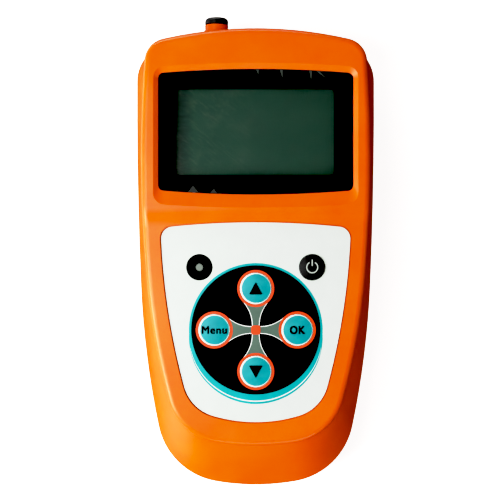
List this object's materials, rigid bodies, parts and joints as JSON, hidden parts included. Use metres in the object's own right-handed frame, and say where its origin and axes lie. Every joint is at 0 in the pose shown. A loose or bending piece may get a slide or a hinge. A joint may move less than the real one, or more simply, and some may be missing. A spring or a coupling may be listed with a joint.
{
  "type": "handheld digital meter",
  "caption": "Orange hand-held field instrument with a graphic display window, round soft keys on a white panel and a capped probe socket on its end.",
  "frame": {"origin": "centre of the bounding box in X and Y, at the flat back's height", "axes": "+Z out of the display face, +Y towards the end with the probe socket, +X to the right of the display"},
  "size_m": [0.0938, 0.1836, 0.036],
  "materials": {
    "orange_case": "fine satin texture",
    "black_rubber": "matt",
    "grey_rubber": "matt",
    "screw_steel": "satin",
    "cell_jacket": "gloss",
    "plated_spring": "bright",
    "clear_window": "polished",
    "display_glass": "polished",
    "display_frame": "satin",
    "light_guide": "gloss",
    "circuit_board": "gloss",
    "black_plastic": "satin",
    "white_panel": "satin",
    "turquoise_key": "satin",
    "black_key": "satin",
    "lamp_resin": "gloss",
    "component_can": "satin",
    "white_plastic": "matt",
    "gold_contact": "bright"
  },
  "bodies": {
    "case_body": {"front_shell": "orange_case", "rear_shell": "orange_case", "probe_socket": "orange_case", "case_gasket": "grey_rubber", "case_screws": "screw_steel", "battery_cell_1": "cell_jacket", "battery_cell_2": "cell_jacket", "battery_cell_3": "cell_jacket", "battery_springs": "plated_spring", "battery_contacts": "plated_spring", "display_lens": "clear_window", "lens_seal": "grey_rubber", "lcd_bezel": "display_frame", "lcd_glass": "display_glass", "lcd_backlight": "light_guide", "lcd_board": "circuit_board", "lcd_header": "black_plastic", "lcd_screws": "screw_steel", "keypad_panel": "white_panel", "status_led": "lamp_resin", "main_board": "circuit_board", "board_screws": "screw_steel", "main_chip": "black_plastic", "memory_chip": "black_plastic", "crystal": "component_can", "capacitors": "component_can", "buzzer": "black_plastic", "coin_holder": "black_plastic", "coin_cell": "component_can", "power_connector": "white_plastic", "socket_seal": "black_rubber", "socket_insert": "black_plastic", "socket_contacts": "gold_contact", "tact_switch_up": "component_can", "tact_switch_down": "component_can", "tact_switch_menu": "component_can", "tact_switch_ok": "component_can", "tact_switch_power": "component_can"},
    "key_up_body": {"key_up": "turquoise_key", "plunger_up": "black_plastic"},
    "key_down_body": {"key_down": "turquoise_key", "plunger_down": "black_plastic"},
    "key_menu_body": {"key_menu": "turquoise_key", "plunger_menu": "black_plastic"},
    "key_ok_body": {"key_ok": "turquoise_key", "plunger_ok": "black_plastic"},
    "key_power_body": {"key_power": "black_key", "plunger_power": "black_plastic"},
    "door_body": {"battery_door": "orange_case"},
    "plug_body": {"dust_plug": "black_rubber"}
  },
  "joints": [
    {"name": "key_up_press", "type": "slide", "parent": "case_body", "child": "key_up_body", "axis": [0, 0, -1], "range_m": [0, 0.0007], "stiffness_N_per_m": 400},
    {"name": "key_down_press", "type": "slide", "parent": "case_body", "child": "key_down_body", "axis": [0, 0, -1], "range_m": [0, 0.0007], "stiffness_N_per_m": 400},
    {"name": "key_menu_press", "type": "slide", "parent": "case_body", "child": "key_menu_body", "axis": [0, 0, -1], "range_m": [0, 0.0007], "stiffness_N_per_m": 400},
    {"name": "key_ok_press", "type": "slide", "parent": "case_body", "child": "key_ok_body", "axis": [0, 0, -1], "range_m": [0, 0.0007], "stiffness_N_per_m": 400},
    {"name": "key_power_press", "type": "slide", "parent": "case_body", "child": "key_power_body", "axis": [0, 0, -1], "range_m": [0, 0.0007], "stiffness_N_per_m": 400},
    {"name": "battery_door_hinge", "type": "hinge", "parent": "case_body", "child": "door_body", "pos_m": [0, -0.0607, 0.0012], "axis": [-1, 0, 0], "range_deg": [0, 80]},
    {"name": "dust_plug_pull", "type": "slide", "parent": "case_body", "child": "plug_body", "axis": [0, 1, 0], "range_m": [0, 0.008]}
  ]
}
